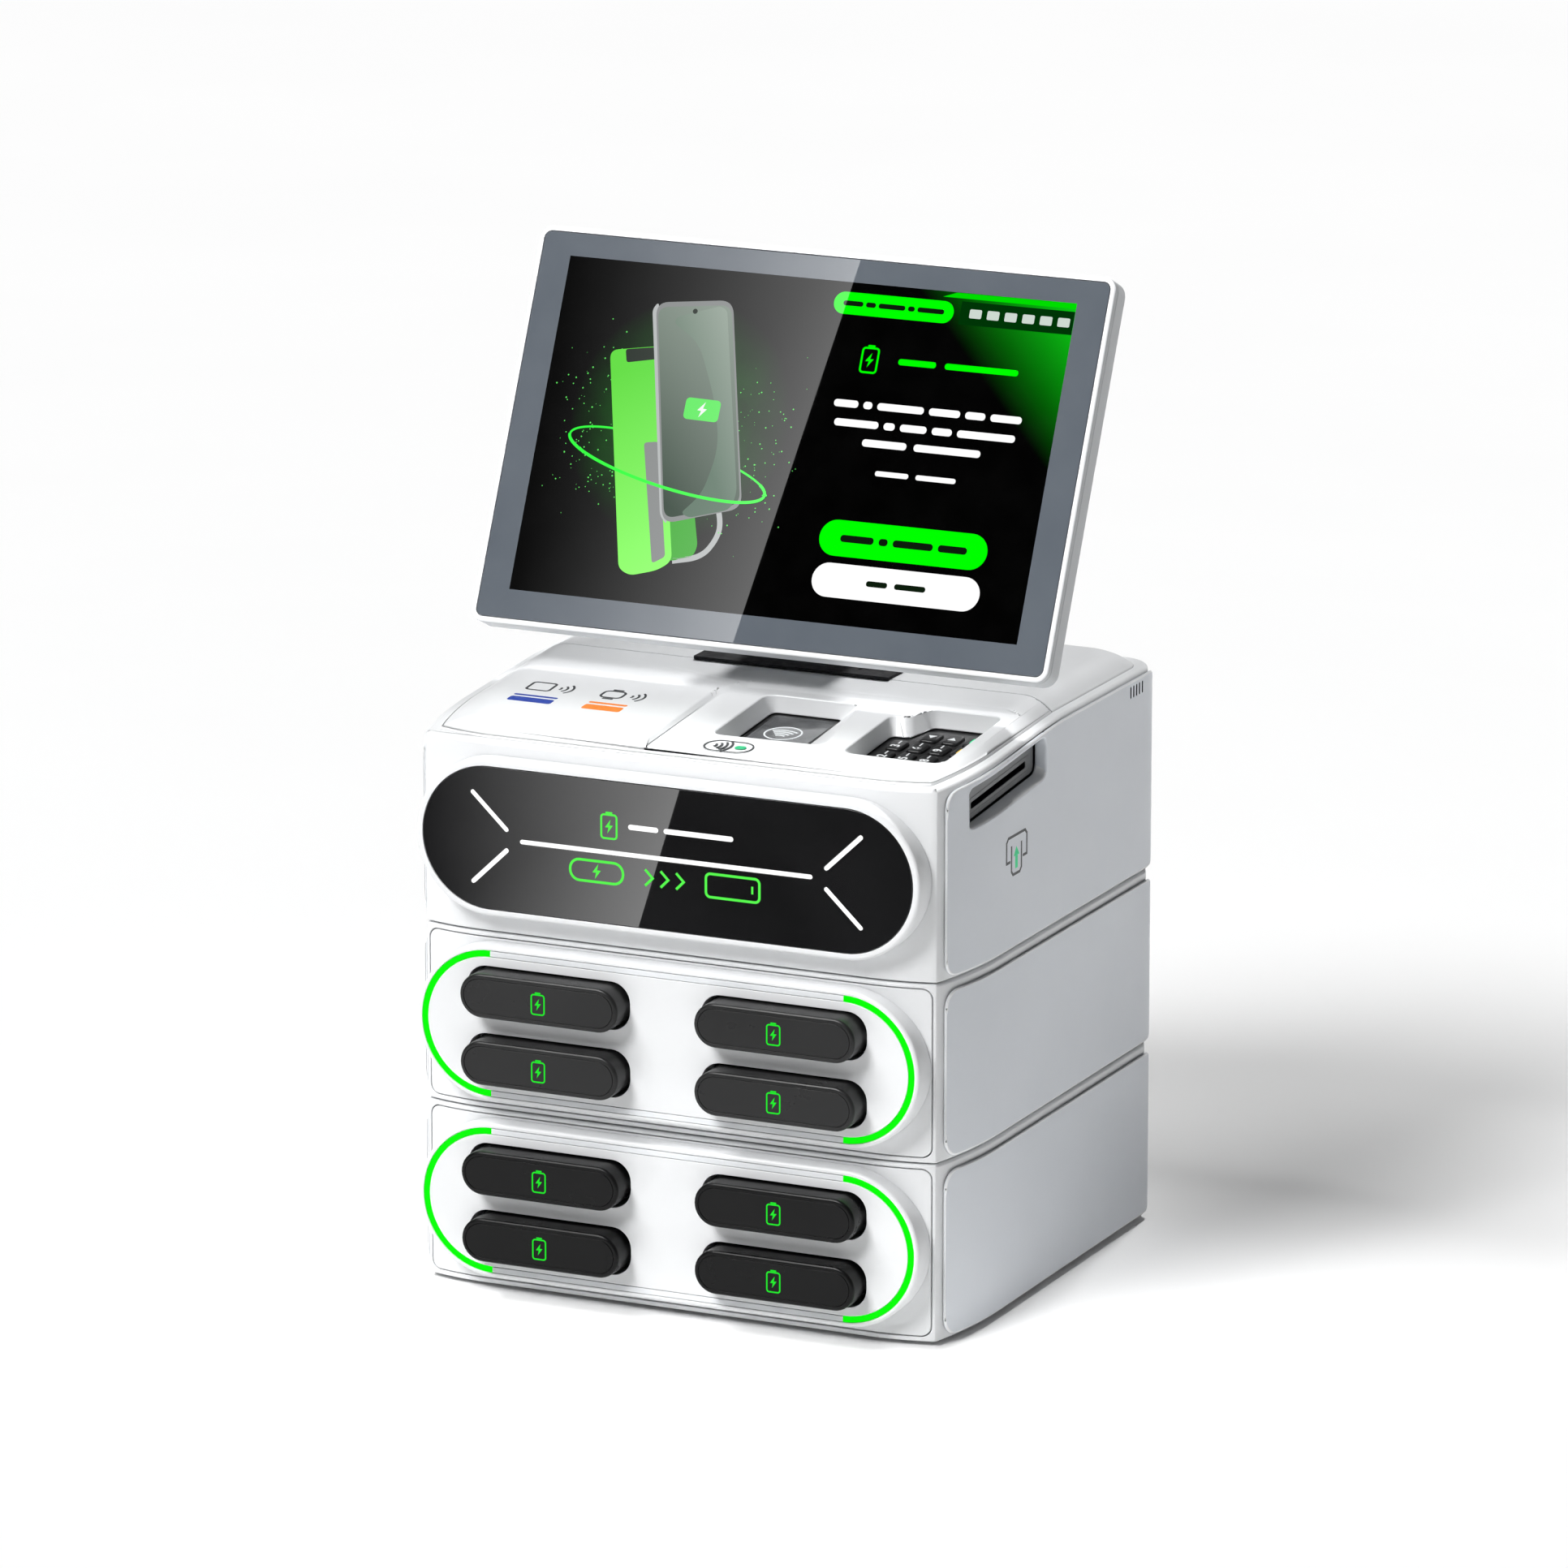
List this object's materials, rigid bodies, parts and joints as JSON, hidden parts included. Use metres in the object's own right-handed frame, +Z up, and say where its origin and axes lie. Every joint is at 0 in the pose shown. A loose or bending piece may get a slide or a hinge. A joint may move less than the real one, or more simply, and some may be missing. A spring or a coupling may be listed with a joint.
{
  "type": "phone charging kiosk",
  "caption": "Counter-top kiosk that lends power banks: two stacked battery modules, a head with payment terminal and a tilting touch screen.",
  "frame": {"origin": "middle of the footprint, on the surface that the feet stand on", "axes": "+Z up, the pill-shaped fronts and the power banks face -Y, +X is to the right for someone facing the kiosk, on the side with the card slot"},
  "size_m": [0.2628, 0.236, 0.4191],
  "materials": {
    "white_housing": "satin white moulded plastic",
    "grey_cover": "satin light grey moulded plastic",
    "black_plastic": "fine-textured black plastic",
    "gloss_black": "high-gloss black",
    "green_light": "translucent light guide, lit green at its two round ends",
    "white_light": "translucent light guide, lit white",
    "bank_plastic": "satin black moulded plastic",
    "rubber": "matte black rubber",
    "cage_plastic": "matte dark grey plastic",
    "circuit_board": "green solder mask",
    "screen_glass": "polished cover glass with a grey printed border",
    "steel": "brushed steel",
    "aluminium": "satin aluminium"
  },
  "bodies": {
    "kiosk": {"base_plate": "steel", "foot_front_left": "rubber", "foot_front_right": "rubber", "foot_rear_left": "rubber", "foot_rear_right": "rubber", "lower_housing": "white_housing", "lower_left_cover": "grey_cover", "lower_right_cover": "grey_cover", "lower_front_plate": "white_housing", "lower_pill_bezel": "white_housing", "lower_light_ring": "green_light", "lower_slot_cage": "cage_plastic", "lower_contact_board": "circuit_board", "upper_housing": "white_housing", "upper_left_cover": "grey_cover", "upper_right_cover": "grey_cover", "upper_front_plate": "white_housing", "upper_pill_bezel": "white_housing", "upper_light_ring": "green_light", "upper_slot_cage": "cage_plastic", "upper_contact_board": "circuit_board", "head_housing": "white_housing", "head_left_cover": "grey_cover", "head_right_cover": "grey_cover", "deck_front": "white_housing", "deck_rear": "white_housing", "head_pill_bezel": "white_housing", "head_black_panel": "gloss_black", "head_light_bars": "white_light", "power_supply": "aluminium", "control_board": "circuit_board", "power_inlet": "black_plastic", "stand_gasket": "rubber", "terminal_body": "black_plastic", "terminal_display": "gloss_black", "hinge_pin": "steel", "stand_arm": "white_housing"},
    "lower_power_bank_top_left": {"lower_power_bank_top_left": "bank_plastic"},
    "lower_power_bank_top_right": {"lower_power_bank_top_right": "bank_plastic"},
    "lower_power_bank_bottom_left": {"lower_power_bank_bottom_left": "bank_plastic"},
    "lower_power_bank_bottom_right": {"lower_power_bank_bottom_right": "bank_plastic"},
    "upper_power_bank_top_left": {"upper_power_bank_top_left": "bank_plastic"},
    "upper_power_bank_top_right": {"upper_power_bank_top_right": "bank_plastic"},
    "upper_power_bank_bottom_left": {"upper_power_bank_bottom_left": "bank_plastic"},
    "upper_power_bank_bottom_right": {"upper_power_bank_bottom_right": "bank_plastic"},
    "terminal_key_2": {"terminal_key_2": "black_plastic"},
    "terminal_key_5": {"terminal_key_5": "black_plastic"},
    "terminal_key_8": {"terminal_key_8": "black_plastic"},
    "terminal_key_0": {"terminal_key_0": "black_plastic"},
    "terminal_key_3": {"terminal_key_3": "black_plastic"},
    "terminal_key_6": {"terminal_key_6": "black_plastic"},
    "terminal_key_9": {"terminal_key_9": "black_plastic"},
    "terminal_key_yellow": {"terminal_key_yellow": "black_plastic"},
    "terminal_key_down": {"terminal_key_down": "black_plastic"},
    "terminal_key_up": {"terminal_key_up": "black_plastic"},
    "terminal_key_green": {"terminal_key_green": "black_plastic"},
    "screen": {"screen_frame": "white_housing", "screen_glass": "screen_glass", "screen_lcd_panel": "gloss_black", "screen_rear_shell": "white_housing"}
  },
  "joints": [
    {"name": "lower_bank_top_left_slide", "type": "slide", "parent": "kiosk", "child": "lower_power_bank_top_left", "axis": [0, -1, 0], "range_m": [0, 0.125]},
    {"name": "lower_bank_top_right_slide", "type": "slide", "parent": "kiosk", "child": "lower_power_bank_top_right", "axis": [0, -1, 0], "range_m": [0, 0.125]},
    {"name": "lower_bank_bottom_left_slide", "type": "slide", "parent": "kiosk", "child": "lower_power_bank_bottom_left", "axis": [0, -1, 0], "range_m": [0, 0.125]},
    {"name": "lower_bank_bottom_right_slide", "type": "slide", "parent": "kiosk", "child": "lower_power_bank_bottom_right", "axis": [0, -1, 0], "range_m": [0, 0.125]},
    {"name": "upper_bank_top_left_slide", "type": "slide", "parent": "kiosk", "child": "upper_power_bank_top_left", "axis": [0, -1, 0], "range_m": [0, 0.125]},
    {"name": "upper_bank_top_right_slide", "type": "slide", "parent": "kiosk", "child": "upper_power_bank_top_right", "axis": [0, -1, 0], "range_m": [0, 0.125]},
    {"name": "upper_bank_bottom_left_slide", "type": "slide", "parent": "kiosk", "child": "upper_power_bank_bottom_left", "axis": [0, -1, 0], "range_m": [0, 0.125]},
    {"name": "upper_bank_bottom_right_slide", "type": "slide", "parent": "kiosk", "child": "upper_power_bank_bottom_right", "axis": [0, -1, 0], "range_m": [0, 0.125]},
    {"name": "key_2_press", "type": "slide", "parent": "kiosk", "child": "terminal_key_2", "axis": [0, 0.0861, -0.9963], "range_m": [0, 0.0012], "stiffness_N_per_m": 400, "springref_m": -0.0003},
    {"name": "key_5_press", "type": "slide", "parent": "kiosk", "child": "terminal_key_5", "axis": [0, 0.0861, -0.9963], "range_m": [0, 0.0012], "stiffness_N_per_m": 400, "springref_m": -0.0003},
    {"name": "key_8_press", "type": "slide", "parent": "kiosk", "child": "terminal_key_8", "axis": [0, 0.0861, -0.9963], "range_m": [0, 0.0012], "stiffness_N_per_m": 400, "springref_m": -0.0003},
    {"name": "key_0_press", "type": "slide", "parent": "kiosk", "child": "terminal_key_0", "axis": [0, 0.0861, -0.9963], "range_m": [0, 0.0012], "stiffness_N_per_m": 400, "springref_m": -0.0003},
    {"name": "key_3_press", "type": "slide", "parent": "kiosk", "child": "terminal_key_3", "axis": [0, 0.0861, -0.9963], "range_m": [0, 0.0012], "stiffness_N_per_m": 400, "springref_m": -0.0003},
    {"name": "key_6_press", "type": "slide", "parent": "kiosk", "child": "terminal_key_6", "axis": [0, 0.0861, -0.9963], "range_m": [0, 0.0012], "stiffness_N_per_m": 400, "springref_m": -0.0003},
    {"name": "key_9_press", "type": "slide", "parent": "kiosk", "child": "terminal_key_9", "axis": [0, 0.0861, -0.9963], "range_m": [0, 0.0012], "stiffness_N_per_m": 400, "springref_m": -0.0003},
    {"name": "key_yellow_press", "type": "slide", "parent": "kiosk", "child": "terminal_key_yellow", "axis": [0, 0.0861, -0.9963], "range_m": [0, 0.0012], "stiffness_N_per_m": 400, "springref_m": -0.0003},
    {"name": "key_down_press", "type": "slide", "parent": "kiosk", "child": "terminal_key_down", "axis": [0, 0.0861, -0.9963], "range_m": [0, 0.0012], "stiffness_N_per_m": 400, "springref_m": -0.0003},
    {"name": "key_up_press", "type": "slide", "parent": "kiosk", "child": "terminal_key_up", "axis": [0, 0.0861, -0.9963], "range_m": [0, 0.0012], "stiffness_N_per_m": 400, "springref_m": -0.0003},
    {"name": "key_green_press", "type": "slide", "parent": "kiosk", "child": "terminal_key_green", "axis": [0, 0.0861, -0.9963], "range_m": [0, 0.0012], "stiffness_N_per_m": 400, "springref_m": -0.0003},
    {"name": "screen_tilt", "type": "hinge", "parent": "kiosk", "child": "screen", "pos_m": [0, 0.01828, 0.30052], "axis": [-1, 0, 0], "range_deg": [-10, 15]}
  ]
}
